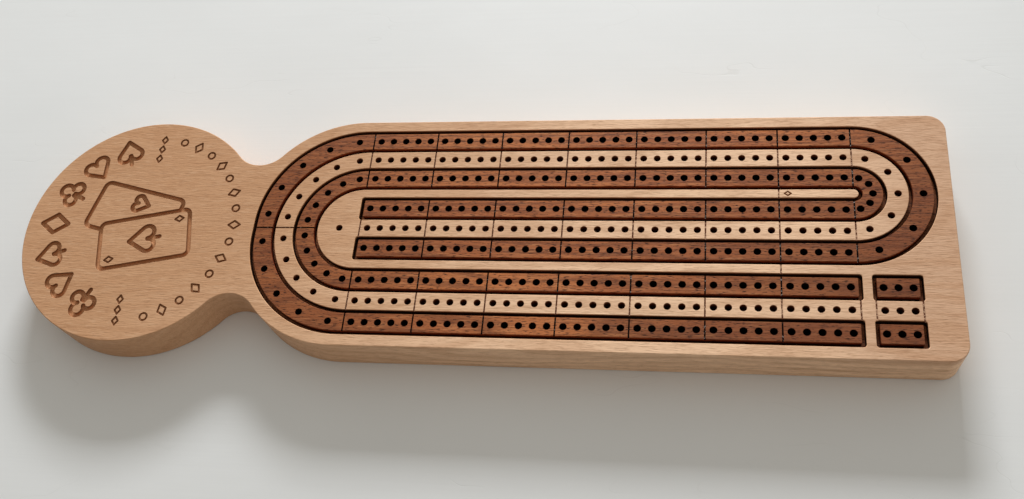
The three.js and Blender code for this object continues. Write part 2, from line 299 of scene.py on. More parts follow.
def board_outline(inset):
    """The board's outline, moved inwards by inset."""
    head = HEAD_RADIUS - inset
    shoulder = HALF_WIDTH - SHOULDER_Y - inset
    fillet = NECK_FILLET + inset
    corner = TAIL_CORNER - inset
    span = math.hypot(SHOULDER_X - HEAD_X, SHOULDER_Y)
    tilt = math.atan2(SHOULDER_Y, SHOULDER_X - HEAD_X)
    to_head = head + fillet
    to_shoulder = shoulder + fillet
    along = (to_head ** 2 - to_shoulder ** 2 + span ** 2) / (2 * span)
    head_angle = tilt + math.acos(along / to_head)
    neck_x = HEAD_X + to_head * math.cos(head_angle)
    neck_y = to_head * math.sin(head_angle)
    shoulder_angle = math.atan2(neck_y - SHOULDER_Y, neck_x - SHOULDER_X)
    neck_start = shoulder_angle - math.pi
    neck_end = head_angle - math.pi
    tail_x = TAIL_X - inset - corner
    tail_y = HALF_WIDTH - inset - corner
    upper = arc(tail_x, tail_y, corner, 0, QUARTER, TAIL_STEPS)
    upper += arc(SHOULDER_X, SHOULDER_Y, shoulder, QUARTER, shoulder_angle, SHOULDER_STEPS)
    upper += arc(neck_x, neck_y, fillet, neck_start, neck_end, NECK_STEPS)[1:]
    upper += arc(HEAD_X, 0, head, head_angle, math.pi, HEAD_STEPS)[1:]
    return upper + [(x, -y) for x, y in reversed(upper[:-1])]


def outer_reach(angle):
    """How far the outer lane's holes stand from the centre of the left turn."""
    radius = OUTER_TURN - OUTER_BEND_Y
    along = OUTER_BEND_Y * abs(math.sin(angle)) - OUTER_BEND_SHIFT * math.cos(angle)
    square = radius ** 2 - OUTER_BEND_SHIFT ** 2 - OUTER_BEND_Y ** 2 + along ** 2
    return along + math.sqrt(square)


def left_turn_edge(turn, radius):
    """The outer edge of a lane round the left turn. The outer lane bends in two arcs."""
    if turn < OUTER_TURN:
        return arc(LEFT_TURN_X, 0, radius, -QUARTER, -3 * QUARTER, LEFT_TURN_STEPS)
    x = LEFT_TURN_X - OUTER_BEND_SHIFT
    bend = radius - OUTER_BEND_Y
    half_steps = LEFT_TURN_STEPS // 2
    near = arc(x, -OUTER_BEND_Y, bend, -QUARTER, -2 * QUARTER, half_steps)
    return near + arc(x, OUTER_BEND_Y, bend, -2 * QUARTER, -3 * QUARTER, half_steps)


def lane_band(turn, half, inset):
    """The band a lane covers: lowest row, left turn, upper row, right turn, last row."""
    right = turn - RIGHT_TURN_Y
    last_y = 2 * RIGHT_TURN_Y - turn
    corner = POCKET_CORNER - inset / 2
    start_x = RIGHT_TURN_X + POCKET_OVERRUN - inset - corner
    end_x = LEFT_TURN_X - POCKET_OVERRUN + inset + corner
    outer = turn + half
    inner = turn - half
    points = arc(start_x, -inner - corner, corner, QUARTER, 0, CORNER_STEPS)
    points += arc(start_x, -outer + corner, corner, 0, -QUARTER, CORNER_STEPS)
    points += left_turn_edge(turn, outer)
    points += arc(RIGHT_TURN_X, RIGHT_TURN_Y, right + half, QUARTER, -QUARTER, RIGHT_TURN_STEPS)
    points += arc(end_x, last_y - half + corner, corner, -QUARTER, -2 * QUARTER, CORNER_STEPS)
    points += arc(end_x, last_y + half - corner, corner, 2 * QUARTER, QUARTER, CORNER_STEPS)
    points += arc(RIGHT_TURN_X, RIGHT_TURN_Y, right - half, -QUARTER, QUARTER, RIGHT_TURN_STEPS)
    points += arc(LEFT_TURN_X, 0, inner, -3 * QUARTER, -QUARTER, LEFT_TURN_STEPS)
    return points


def start_band(row_y, half, inset):
    """The band a start block covers."""
    half_length = START_POCKET_LENGTH / 2 - inset
    low_x = START_BLOCK_X - half_length
    high_x = START_BLOCK_X + half_length
    corner = POCKET_CORNER - inset / 2
    return rounded_rectangle(low_x, high_x, row_y - half, row_y + half, corner)


# ---------------------------------------------------------------------------------------
# Meshes
# ---------------------------------------------------------------------------------------
def mesh_object(name, vertices, faces, material):
    """A mesh from points in millimetres."""
    mesh = bpy.data.meshes.new(name)
    mesh.from_pydata([(x * MM, y * MM, z * MM) for x, y, z in vertices], [], faces)
    mesh.materials.append(material)
    mesh.update()
    piece = bpy.data.objects.new(name, mesh)
    bpy.context.scene.collection.objects.link(piece)
    return piece


def ring_faces(total, count):
    """The faces of a closed solid whose vertices, total in all, are in rings of count."""
    faces = [list(reversed(range(count)))]
    for low in range(0, total - count, count):
        for i in range(count):
            j = (i + 1) % count
            faces.append([low + i, low + j, low + count + j, low + count + i])
    faces.append(list(range(total - count, total)))
    return faces


def loft(rings):
    """A closed solid through flat rings of equal numbers of points, given as (points, z)."""
    vertices = [(x, y, z) for points, z in rings for x, y in points]
    return vertices, ring_faces(len(vertices), len(rings[0][0]))


def joined(solids):
    """Several solids as the vertices and faces of one mesh."""
    vertices = []
    faces = []
    for more_vertices, more_faces in solids:
        base = len(vertices)
        vertices += more_vertices
        faces += [[base + i for i in face] for face in more_faces]
    return vertices, faces


def counterclockwise(points):
    area = sum(a[0] * b[1] - b[0] * a[1] for a, b in zip(points, points[1:] + points[:1]))
    return points if area > 0 else list(reversed(points))


def prism(points, low, high):
    """The solid that a flat outline sweeps from z = low to z = high."""
    outline = counterclockwise(points)
    return loft([(outline, low), (outline, high)])


def pocket_cutter(band):
    """A pocket with a finely eased mouth. band(half width, inset) gives its outline."""
    wall = counterclockwise(band(POCKET_HALF, 0))
    mouth = counterclockwise(band(POCKET_HALF + ARRIS, -ARRIS))
    return loft([
        (wall, TOP - POCKET_DEPTH),
        (wall, TOP - ARRIS),
        (mouth, TOP),
        (mouth, TOP + CUT_MARGIN),
    ])


def hole_cutter(x, y):
    """A drilled hole with a conical floor and a fine chamfer at its mouth."""
    levels = [
        (HOLE_RADIUS * HOLE_TIP_SHARE, TOP - HOLE_DEPTH),
        (HOLE_RADIUS, TOP - HOLE_DEPTH + HOLE_CONE_HEIGHT),
        (HOLE_RADIUS, TOP - HOLE_CHAMFER),
        (HOLE_RADIUS + HOLE_CHAMFER, TOP),
        (HOLE_RADIUS + HOLE_CHAMFER, TOP + CUT_MARGIN),
    ]
    return loft([(arc(x, y, r, 0, 2 * math.pi, HOLE_SIDES)[:-1], z) for r, z in levels])


def evaluated(piece):
    """Replaces a piece's mesh by what its modifiers make of it."""
    graph = bpy.context.evaluated_depsgraph_get()
    mesh = bpy.data.meshes.new_from_object(piece.evaluated_get(graph), depsgraph=graph)
    old = piece.data
    piece.modifiers.clear()
    piece.data = mesh
    bpy.data.meshes.remove(old)


def carve(piece, solids, material):
    """Cuts each solid out of a piece in turn. The cut faces take the given material."""
    for solid in solids:
        cutter = mesh_object("cutter", *solid, material)
        cut = piece.modifiers.new("cut", "BOOLEAN")
        cut.operation = "DIFFERENCE"
        cut.solver = "MANIFOLD"
        cut.material_mode = "TRANSFER"
        cut.object = cutter
        evaluated(piece)
        bpy.data.objects.remove(cutter, do_unlink=True)


def finish_surface(piece, crease_degrees=CREASE):
    """Smooth shading with sharp creases, weighted so that flat faces stay flat."""
    mesh = piece.data
    mesh.polygons.foreach_set("use_smooth", [True] * len(mesh.polygons))
    mesh.set_sharp_from_angle(angle=math.radians(crease_degrees))
    weighted = piece.modifiers.new("weighted normals", "WEIGHTED_NORMAL")
    weighted.keep_sharp = True
    weighted.weight = NORMAL_WEIGHT
    evaluated(piece)


# ---------------------------------------------------------------------------------------
# Materials
# ---------------------------------------------------------------------------------------
class Shader:
    """A material's nodes, with one short method for each kind of node it uses."""

    def __init__(self, name):
        self.material = bpy.data.materials.new(name)
        self.material.use_nodes = True
        self.tree = self.material.node_tree
        self.tree.nodes.clear()
        output = self.tree.nodes.new("ShaderNodeOutputMaterial")
        self.surface = self.tree.nodes.new("ShaderNodeBsdfPrincipled")
        self.tree.links.new(self.surface.outputs["BSDF"], output.inputs["Surface"])
        place = self.tree.nodes.new("ShaderNodeTexCoord").outputs["Object"]
        self.millimetres = self.vector("SCALE", place, scale=1 / MM)
        axes = self.tree.nodes.new("ShaderNodeSeparateXYZ")
        self.tree.links.new(self.millimetres, axes.inputs[0])
        self.x, self.y, self.z = axes.outputs

    def put(self, socket, value):
        """Links a socket to another node's, or sets it to a number, vector or colour."""
        if isinstance(value, bpy.types.NodeSocket):
            self.tree.links.new(value, socket)
        elif socket.type == "RGBA":
            socket.default_value = (*value, 1.0)
        else:
            socket.default_value = value

    def vector(self, operation, a, b=None, scale=None):
        node = self.tree.nodes.new("ShaderNodeVectorMath")
        node.operation = operation
        self.put(node.inputs[0], a)
        if b is not None:
            self.put(node.inputs[1], b)
        if scale is not None:
            node.inputs["Scale"].default_value = scale
        return node.outputs["Vector"]

    def math(self, operation, a, b=0.0):
        node = self.tree.nodes.new("ShaderNodeMath")
        node.operation = operation
        self.put(node.inputs[0], a)
        self.put(node.inputs[1], b)
        return node.outputs[0]

    def span(self, value, low, high, to_low=0.0, to_high=1.0):
        """A smooth ramp from to_low to to_high as value goes from low to high."""
        node = self.tree.nodes.new("ShaderNodeMapRange")
        node.interpolation_type = "SMOOTHSTEP"
        self.put(node.inputs["Value"], value)
        node.inputs["From Min"].default_value = low
        node.inputs["From Max"].default_value = high
        node.inputs["To Min"].default_value = to_low
        node.inputs["To Max"].default_value = to_high
        return node.outputs["Result"]

    def noise(self, cell, detail=2.0, roughness=0.5):
        """Noise whose cells measure cell = (x, y, z) millimetres."""
        node = self.tree.nodes.new("ShaderNodeTexNoise")
        self.put(node.inputs["Vector"], self.vector("DIVIDE", self.millimetres, cell))
        node.inputs["Scale"].default_value = 1.0
        node.inputs["Detail"].default_value = detail
        node.inputs["Roughness"].default_value = roughness
        return node.outputs["Fac"]

    def mix(self, factor, a, b, blend="MIX"):
        node = self.tree.nodes.new("ShaderNodeMix")
        node.data_type = "RGBA"
        node.blend_type = blend
        self.put(node.inputs["Factor"], factor)
        self.put(node.inputs[6], a)
        self.put(node.inputs[7], b)
        return node.outputs[2]

    def overlay(self, under, pattern, low, high, weight, over):
        """One colour laid over another as a pattern goes from low to high."""
        return self.mix(self.span(pattern, low, high, 0.0, weight), under, over)

    def bump(self, height, distance, strength=1.0):
        node = self.tree.nodes.new("ShaderNodeBump")
        node.inputs["Strength"].default_value = strength
        node.inputs["Distance"].default_value = distance * MM
        self.put(node.inputs["Height"], height)
        self.put(self.surface.inputs["Normal"], node.outputs["Normal"])

    def rings(self, pith, spacing, waviness):
        """Growth rings round a pith that runs along X, as a wave from 0 to 1."""
        across = self.math("SUBTRACT", self.y, pith[0])
        up = self.math("SUBTRACT", self.z, pith[1])
        squares = [self.math("MULTIPLY", offset, offset) for offset in (across, up)]
        radius = self.math("SQRT", self.math("ADD", *squares))
        long_wave = self.math("MULTIPLY", self.noise(RING_LONG_WAVE), waviness)
        short_waviness = waviness * RING_SHORT_SHARE
        short_wave = self.math("MULTIPLY", self.noise(RING_SHORT_WAVE), short_waviness)
        wavy_radius = self.math("ADD", self.math("ADD", radius, long_wave), short_wave)
        turns = self.math("DIVIDE", wavy_radius, spacing)
        wave = self.math("SINE", self.math("MULTIPLY", turns, 2 * math.pi))
        return self.span(wave, -1.0, 1.0)


def maple_colour(wood):
    """Pale straight-grained maple, browner towards the round head and on the top of the tail.
    The tail's brown is partly its tone and partly painted shade: it stops short of the sides,
    which stay paler as if lit more brightly than the top.
    """
    tone = wood.noise((210, 60, 60))
    wander = wood.math("MULTIPLY", wood.math("SUBTRACT", tone, 0.5), 150.0)
    along = wood.math("ADD", wood.x, wander)
    across = wood.math("MULTIPLY", wood.y, -0.75)
    light = wood.span(wood.math("ADD", along, across), -175.0, 150.0)
    colour = wood.mix(light, MAPLE_BROWN, MAPLE_PALE)
    # Painted shade on the tail's top: the brown covers only the top, so the sides stay paler.
    tail = wood.math("MULTIPLY", wood.span(along, 180.0, 260.0), wood.span(wood.z, 17.0, 24.0))
    colour = wood.mix(wood.math("MULTIPLY", tail, 0.85), colour, MAPLE_TAIL_TOP_TONE_AND_SHADE)
    ring = wood.math("POWER", wood.rings((34.0, -88.0), 7.4, 52.0), 2.4)
    colour = wood.mix(wood.math("MULTIPLY", ring, 0.3), colour, MAPLE_RING)
    band = wood.noise((90, 3.6, 3.6), 3.0, 0.6)
    colour = wood.overlay(colour, band, 0.5, 0.75, 0.3, MAPLE_BAND)
    grain = wood.noise((7, 0.75, 0.75), 3.0, 0.65)
    colour = wood.overlay(colour, grain, 0.46, 0.66, 0.34, MAPLE_GRAIN)
    shimmer = wood.noise((8, 1.1, 1.1), 2.0, 0.6)
    colour = wood.overlay(colour, shimmer, 0.52, 0.74, 0.2, MAPLE_SHIMMER)
    fleck = wood.noise((4.2, 0.42, 0.42), 1.0)
    colour = wood.overlay(colour, fleck, 0.62, 0.72, 0.34, MAPLE_FLECK)
    return colour, grain, fleck


def walnut_colour(wood):
    """Reddish walnut with dark lines and short open pores along the grain. It is darker
    towards the near end of the tail and towards the neck."""
    tone = wood.noise((110, 18, 18))
    colour = wood.mix(wood.span(tone, 0.36, 0.64), WALNUT_RED, WALNUT_WARM)
    ring = wood.math("POWER", wood.rings((-60.0, -40.0), 3.3, 18.0), 4.0)
    colour = wood.mix(wood.math("MULTIPLY", ring, 0.45), colour, WALNUT_RING)
    streak = wood.noise((26, 0.8, 0.8), 3.0, 0.62)
    colour = wood.overlay(colour, streak, 0.5, 0.7, 0.5, WALNUT_STREAK)
    glow = wood.noise((14, 1.1, 1.1), 2.0, 0.6)
    colour = wood.overlay(colour, glow, 0.52, 0.72, 0.5, WALNUT_GLOW)
    near = wood.math("ADD", wood.x, wood.math("MULTIPLY", wood.y, -0.9))
    tail = wood.span(near, 90.0, 250.0, 0.0, 0.62)
    neck = wood.span(wood.x, -110.0, 40.0, 0.48, 0.0)
    colour = wood.mix(wood.math("ADD", tail, neck), colour, WALNUT_SHADE)
    pore = wood.noise((3.8, 0.5, 0.5), 2.0, 0.6)
    colour = wood.overlay(colour, pore, 0.55, 0.63, 0.9, WALNUT_PORE)
    return colour, streak, pore


def wood_surface(name, colours):
    """An oiled satin surface: the pores are a little sunk and a little duller."""
    wood = Shader(name)
    colour, streak, pore = colours(wood)
    wood.put(wood.surface.inputs["Base Color"], colour)
    wood.put(wood.surface.inputs["Roughness"], wood.span(pore, 0.45, 0.72, 0.5, 0.7))
    wood.surface.inputs["Specular IOR Level"].default_value = 0.15
    height = wood.math("ADD", streak, wood.math("MULTIPLY", pore, -1.4))
    wood.bump(height, 0.12)
    return wood.material


def cut_surface_painted_light_and_shade(name, colours, lip, wall, foot, lip_depth, foot_depth):
    """Wood inside a cut, with light and shade painted on by depth. lip, wall and foot multiply
    the clean wood's colour: at its mouth, just below lip_depth and from foot_depth down. A
    factor above 1 paints a highlight and one below 1 paints shade."""
    wood = Shader(name)
    colour, _, pore = colours(wood)
    painted_light_and_shade = [wood.mix(1.0, colour, tint, "MULTIPLY") for tint in (lip, wall, foot)]
    mouth, middle, bottom = painted_light_and_shade
    # Painted shade: the wall's tint gives way to the foot's tint further down the cut.
    depth = wood.span(wood.z, TOP - foot_depth, TOP - lip_depth, 1.0, 0.0)
    inside = wood.mix(depth, middle, bottom)
    # The mouth's tint blends in near the top; on the maple pockets it is a painted highlight.
    rise = wood.span(wood.z, TOP - lip_depth, TOP - lip_depth * MOUTH_BLEND)
    colour = wood.mix(rise, inside, mouth)
    wood.put(wood.surface.inputs["Base Color"], colour)
    wood.put(wood.surface.inputs["Roughness"], wood.span(pore, 0.4, 0.7, 0.5, 0.7))
    wood.surface.inputs["Specular IOR Level"].default_value = 0.12
    return wood.material


def scribed_surface(name, base, dust, whole):
    """The floor of a scribed line: dark, partly its own colour and partly painted shade of the
    narrow cut, with dust-coloured gaps where it holds dust, which come more often towards the
    tail. The higher whole is, the fewer the gaps."""
    line = Shader(name)
    broken = line.noise((1.3, 1.3, 6.0), 2.0, 0.7)
    worn = line.math("ADD", broken, line.span(line.x, -20.0, 220.0, 0.0, 0.07))
    colour = line.mix(line.span(worn, whole, whole + DUST_BLEND), base, dust)
    line.put(line.surface.inputs["Base Color"], colour)
    line.surface.inputs["Roughness"].default_value = 0.8
    line.surface.inputs["Specular IOR Level"].default_value = 0.05
    return line.material


def brushed_steel(name):
    """Steel sheet brushed along X, with a few duller stains."""
    steel = Shader(name)
    scratch = steel.noise((60, 0.12, 0.12), 3.0, 0.7)
    stain = steel.noise((22, 12, 12), 3.0, 0.6)
    colour = steel.mix(steel.span(scratch, 0.3, 0.7), STEEL_DARK, STEEL_LIGHT)
    steel.put(steel.surface.inputs["Base Color"], colour)
    steel.surface.inputs["Metallic"].default_value = 1.0
    brushed = steel.span(scratch, 0.3, 0.7, 0.26, 0.42)
    stained = steel.span(stain, 0.5, 0.8, 0.0, 0.12)
    steel.put(steel.surface.inputs["Roughness"], steel.math("ADD", brushed, stained))
    steel.surface.inputs["Anisotropic"].default_value = 0.5
    steel.bump(scratch, 0.02)
    return steel.material


def turned_metal(name, colour, worn, roughness, metallic=1.0):
    """Lathe-turned metal: fine turning marks round the axis and faint handling marks."""
    metal = Shader(name)
    turning = metal.noise((0.18, 60, 60), 2.0, 0.6)
    handling = metal.noise((5, 5, 5), 3.0, 0.6)
    tint = metal.overlay(colour, handling, 0.45, 0.75, 0.8, worn)
    metal.put(metal.surface.inputs["Base Color"], tint)
    metal.surface.inputs["Metallic"].default_value = metallic
    rough = metal.span(handling, 0.4, 0.8, roughness, roughness + 0.16)
    metal.put(metal.surface.inputs["Roughness"], rough)
    metal.bump(turning, 0.012)
    return metal.material


def painted_floor():
    """The pale painted table that the board lies on, with a few hairline scratches."""
    floor = Shader("pale_floor")
    cloud = floor.noise((240, 180, 100), 3.0, 0.55)
    colour = floor.mix(floor.span(cloud, 0.35, 0.7), FLOOR_COOL, FLOOR_PALE)
    wander = floor.noise((150, 60, 60), 3.0)
    hairline = floor.math("ABSOLUTE", floor.math("SUBTRACT", wander, 0.5))
    patch = floor.span(floor.noise((70, 70, 70)), 0.5, 0.62)
    scratch = floor.math("MULTIPLY", floor.span(hairline, 0.0, 0.0022, 1.0, 0.0), patch)
    colour = floor.mix(floor.math("MULTIPLY", scratch, 0.22), colour, FLOOR_SCRATCH)
    floor.put(floor.surface.inputs["Base Color"], colour)
    floor.surface.inputs["Roughness"].default_value = 0.6
    brush = floor.noise((160, 2.6, 2.6), 3.0, 0.6)
    dents = floor.noise((26, 22, 22))
    height = floor.math("ADD", brush, floor.math("MULTIPLY", dents, 3.0))
    floor.bump(floor.math("SUBTRACT", height, floor.math("MULTIPLY", scratch, 0.8)), 0.08, 0.5)
    return floor.material


# ---------------------------------------------------------------------------------------
# Peg holes and scribed lines
# ---------------------------------------------------------------------------------------
def lane_holes(turn):
    """The places of a lane's holes: three straight rows, the left turn and the right one."""
    right = turn - RIGHT_TURN_Y
    first = (GROUP_PITCH - (HOLES_PER_GROUP - 1) * HOLE_PITCH) / 2
    holes = []
    for y in (-turn, turn, 2 * RIGHT_TURN_Y - turn):
        for group in range(GROUPS):
            for i in range(HOLES_PER_GROUP):
                holes.append((LEFT_TURN_X + group * GROUP_PITCH + first + i * HOLE_PITCH, y))
    for i in range(LEFT_TURN_HOLES):
        angle = QUARTER + (i + 0.5) * math.pi / LEFT_TURN_HOLES
        reach = turn if turn < OUTER_TURN else outer_reach(angle)
        holes.append((LEFT_TURN_X + reach * math.cos(angle), reach * math.sin(angle)))
    for i in range(RIGHT_TURN_HOLES):
        angle = QUARTER - (i + 0.5) * math.pi / RIGHT_TURN_HOLES
        x = RIGHT_TURN_X + right * math.cos(angle)
        y = RIGHT_TURN_Y + right * math.sin(angle)
        holes.append((x, y))
    return holes


def start_holes(row_y):
    middle = (START_HOLES - 1) / 2
    return [(START_BLOCK_X + (i - middle) * START_HOLE_PITCH, row_y) for i in range(START_HOLES)]


def drills(holes):
    """The cutters of all these holes as one solid."""
    return joined([hole_cutter(x, y) for x, y in holes])


def scribe(x, y, half_length, along_x=False):
    """A scribed line across a lane, or along X where along_x is set."""
    half_x = half_length if along_x else SCRIBE_WIDTH / 2
    half_y = SCRIBE_WIDTH / 2 if along_x else half_length
    outline = [
        (x - half_x, y - half_y),
        (x + half_x, y - half_y),
        (x + half_x, y + half_y),
        (x - half_x, y + half_y),
    ]
    return prism(outline, TOP - SCRIBE_DEPTH, TOP + CUT_MARGIN)


def lane_scribes(turn, half, first_group, last_group):
    """The lines that part the groups of a lane, and the one across its left turn. The last
    row's lines start at first_group and the first row's end at last_group."""
    rows = [
        (-turn, 0, last_group),
        (turn, 0, GROUPS),
        (2 * RIGHT_TURN_Y - turn, first_group, GROUPS),
    ]
    lines = []
    for y, first, last in rows:
        for group in range(first, last + 1):
            lines.append(scribe(LEFT_TURN_X + group * GROUP_PITCH, y, half))
    lines.append(scribe(LEFT_TURN_X - turn, 0, half, along_x=True))
    return lines


def maple_scribes():
    """The middle lane's lines, those of its start holes and the two skunk lines."""
    half = LANE_PITCH - POCKET_HALF + MAPLE_SCRIBE_OVERRUN
    bar_half = BAR_PITCH / 2 - POCKET_HALF + MAPLE_SCRIBE_OVERRUN
    lines = lane_scribes(MIDDLE_TURN, half, 0, GROUPS)
    for side in (-1, 1):
        lines.append(scribe(START_BLOCK_X + side * START_SCRIBE_OFFSET, -MIDDLE_TURN, half))
        lines.append(scribe(SKUNK_LINE_X, side * RIGHT_TURN_Y, bar_half))
    return joined(lines)


# ---------------------------------------------------------------------------------------
# Engraving on the head: card suits, small marks and two fanned playing cards
# ---------------------------------------------------------------------------------------
def placed(points, x, y, turn, size=1.0):
    """Points scaled, turned and moved onto the head."""
    c = size * math.cos(turn)
    s = size * math.sin(turn)
    return [(HEAD_X + x + c * u - s * v, y + s * u + c * v) for u, v in points]


def softened(points, radius):
    """A line with its corners rounded."""
    result = [points[0]]
    for before, corner, after in zip(points, points[1:], points[2:]):
        p, q, r = Vector(before), Vector(corner), Vector(after)
        back = min(radius, (p - q).length / SOFT_SIDE_LIMIT)
        ahead = min(radius, (r - q).length / SOFT_SIDE_LIMIT)
        start = q + (p - q).normalized() * back
        end = q + (r - q).normalized() * ahead
        for i in range(SOFT_STEPS + 1):
            t = i / SOFT_STEPS
            point = start * (1 - t) ** 2 + q * 2 * t * (1 - t) + end * t ** 2
            result.append((point.x, point.y))
    result.append(points[-1])
    return result


def stroke_outline(points, width):
    """The outline that a round cutter of this width leaves along a line."""
    line = [Vector(p) for p in points]
    left = []
    right = []
    for i, point in enumerate(line):
        before = (point - line[i - 1]).normalized() if i else (line[1] - line[0]).normalized()
        after = (line[i + 1] - point).normalized() if i < len(line) - 1 else before
        heading = (before + after).normalized()
        mitre = max(heading.dot(after), MITRE_LIMIT)
        side = Vector((-heading.y, heading.x)) * (width / 2 / mitre)
        left.append(point + side)
        right.append(point - side)
    last = line[-1] - line[-2]
    first = line[1] - line[0]
    ahead = math.atan2(last.y, last.x)
    behind = math.atan2(first.y, first.x)
    half = width / 2
    tip = arc(*line[-1], half, ahead - QUARTER, ahead + QUARTER, TIP_STEPS)
    tail = arc(*line[0], half, behind + QUARTER, behind + 3 * QUARTER, TIP_STEPS)
    forward = [(p.x, p.y) for p in right[1:-1]]
    backward = [(p.x, p.y) for p in reversed(left[1:-1])]
    return tail + forward + tip + backward


def engraved(points, width, depth):
    """A flat-bottomed cut with a rounded foot and an eased mouth along a line."""
    profile = [(width - narrower * depth, TOP - down * depth) for narrower, down in ENGRAVED_FOOT]
    profile += [
        (width, TOP - ENGRAVED_LIP_HEIGHT),
        (width + ENGRAVED_LIP_WIDTH, TOP),
        (width + ENGRAVED_LIP_WIDTH, TOP + CUT_MARGIN),
    ]
    return loft([(stroke_outline(points, max(w, ENGRAVED_FLOOR)), z) for w, z in profile])


def mirrored(points):
    return [(-u, v) for u, v in points]


# Each shape below is a list of lines that reach about 1 from (0, 0).
def heart():
    half = [(0, -0.95)] + arc(0.45, 0.32, 0.45, math.radians(-40), math.pi, LOBE_STEPS)
    return [half, mirrored(half)]


def diamond():
    corners = [(0, 1.0), (0.72, 0), (0, -1.0), (-0.72, 0)]
    return [[a, b] for a, b in zip(corners, corners[1:] + corners[:1])]


def spade():
    lobe = arc(0.45, 0.22, 0.43, math.radians(-40), math.pi, LOBE_STEPS)
    half = [(0, 1.0)] + [(u, -v) for u, v in lobe]
    return [half, mirrored(half), [(0, -0.3), (0, -1.0)]]


def club():
    """Three round lobes, each open towards the middle, and a stem."""
    side = arc(0.5, -0.2, 0.42, math.radians(118), math.radians(-180), CLUB_STEPS)
    top = arc(0, 0.5, 0.46, math.radians(-55), math.radians(235), CLUB_STEPS)
    return [top, side, mirrored(side), [(0, -0.25), (0, -1.05)]]


def ring():
    radius = 0.6
    upper = arc(0, 0, radius, 0, math.pi, RING_STEPS)
    return [upper, arc(0, 0, radius, math.pi, 2 * math.pi, RING_STEPS)]


def suits():
    """Seven bold card suits round the outer side of the head."""
    lines = []
    shapes = [spade, heart, club, diamond, spade, heart, club]
    for i, shape in enumerate(shapes):
        angle = math.radians(SUIT_FIRST + i * SUIT_STEP)
        x = SUIT_RADIUS * math.cos(angle)
        y = SUIT_RADIUS * math.sin(angle)
        lines += [(placed(line, x, y, angle - QUARTER, SUIT_SIZE), *BOLD) for line in shape()]
    return lines


def marks():
    """Small diamonds and rings round the neck side, and a radial column at each end."""
    lines = []
    for i in range(MARKS):
        angle = math.radians(MARK_FIRST - i * MARK_STEP)
        x = MARK_RADIUS * math.cos(angle)
        y = MARK_RADIUS * math.sin(angle)
        shape = diamond if i % 2 else ring
        lines += [(placed(line, x, y, angle - QUARTER, MARK_SIZE), *FINE) for line in shape()]
    for degrees in COLUMN_ANGLES:
        angle = math.radians(degrees)
        for radius in COLUMN_RADII:
            x = radius * math.cos(angle)
            y = radius * math.sin(angle)
            for line in diamond():
                lines.append((placed(line, x, y, angle - QUARTER, COLUMN_MARK_SIZE), *FINE))
    return lines


def card_halves():
    """A playing card's outline in two halves."""
    half_u, half_v = CARD_HALF
    outline = rounded_rectangle(-half_u, half_u, -half_v, half_v, CARD_CORNER)
    middle = len(outline) // 2
    return [outline[: middle + 1], outline[middle:] + outline[:1]]


def on_card(point, card, margin):
    """Whether a point of the head lies on a card, or within margin of it."""
    x, y, degrees = card
    turn = math.radians(degrees)
    across = Vector((point[0] - HEAD_X - x, point[1] - y))
    u = abs(across.x * math.cos(turn) + across.y * math.sin(turn))
    v = abs(-across.x * math.sin(turn) + across.y * math.cos(turn))
    return u < CARD_HALF[0] + margin and v < CARD_HALF[1] + margin


def dense(points):
    """The same line with points at most a step apart."""
    result = [points[0]]
    for a, b in zip(points, points[1:]):
        pieces = max(1, math.ceil(math.dist(a, b) / ENGRAVED_STEP))
        for i in range(1, pieces + 1):
            t = i / pieces
            result.append((a[0] + (b[0] - a[0]) * t, a[1] + (b[1] - a[1]) * t))
    return result


def uncovered(points, card):
    """The runs of a line that a card doesn't cover."""
    runs = [[]]
    for point in points:
        if on_card(point, card, CARD_GAP):
            runs.append([])
        else:
            runs[-1].append(point)
    return [run for run in runs if len(run) > CARD_SHORTEST_RUN]


def pip(line, u, v, size):
    """A line of a suit at a place on a card."""
    return [(u + size * a, v + size * b) for a, b in line]


def cards():
    """Two fanned playing cards. The front one shows a spade and the back one a heart."""
    lines = []
    front_x, front_y, front_turn = FRONT_CARD
    back_x, back_y, back_turn = BACK_CARD
    front_turn = math.radians(front_turn)
    back_turn = math.radians(back_turn)
    for half in card_halves():
        lines.append((placed(half, front_x, front_y, front_turn), *BOLD))
        back = placed(half, back_x, back_y, back_turn)
        lines += [(run, *BOLD) for run in uncovered(dense(back), FRONT_CARD)]
    for line in spade():
        lines.append((placed(line, front_x, front_y, front_turn, FRONT_PIP), *BOLD))
    u, v, size = CORNER_PIP
    for side in (-1, 1):
        for line in diamond():
            corner = pip(line, side * u, -side * v, side * size)
            lines.append((placed(corner, front_x, front_y, front_turn), *FINE))
    for line in heart():
        lines.append((placed(pip(line, *BACK_PIP), back_x, back_y, back_turn), *BOLD))
    return lines


def skunk_mark():
    """A small diamond just past the skunk line, on the bar of the upper straight."""
    x = SKUNK_LINE_X + SKUNK_MARK_OFFSET - HEAD_X
    lines = [placed(line, x, RIGHT_TURN_Y, -QUARTER, SKUNK_MARK_SIZE) for line in diamond()]
    return [(line, *SKUNK_MARK_CUT) for line in lines]


def passes(lines):
    """Sorts engraved lines into passes whose cuts don't overlap one another."""
    sorted_passes = []
    for points, width, depth in lines:
        xs = [x for x, _ in points]
        ys = [y for _, y in points]
        low = Vector((min(xs) - width, min(ys) - width))
        high = Vector((max(xs) + width, max(ys) + width))
        for boxes, solids in sorted_passes:
            clear = all(
                high.x < a.x or b.x < low.x or high.y < a.y or b.y < low.y for a, b in boxes
            )
            if clear:
                boxes.append((low, high))
                solids.append(engraved(points, width, depth))
                break
        else:
            sorted_passes.append(([(low, high)], [engraved(points, width, depth)]))
    return [joined(solids) for _, solids in sorted_passes]


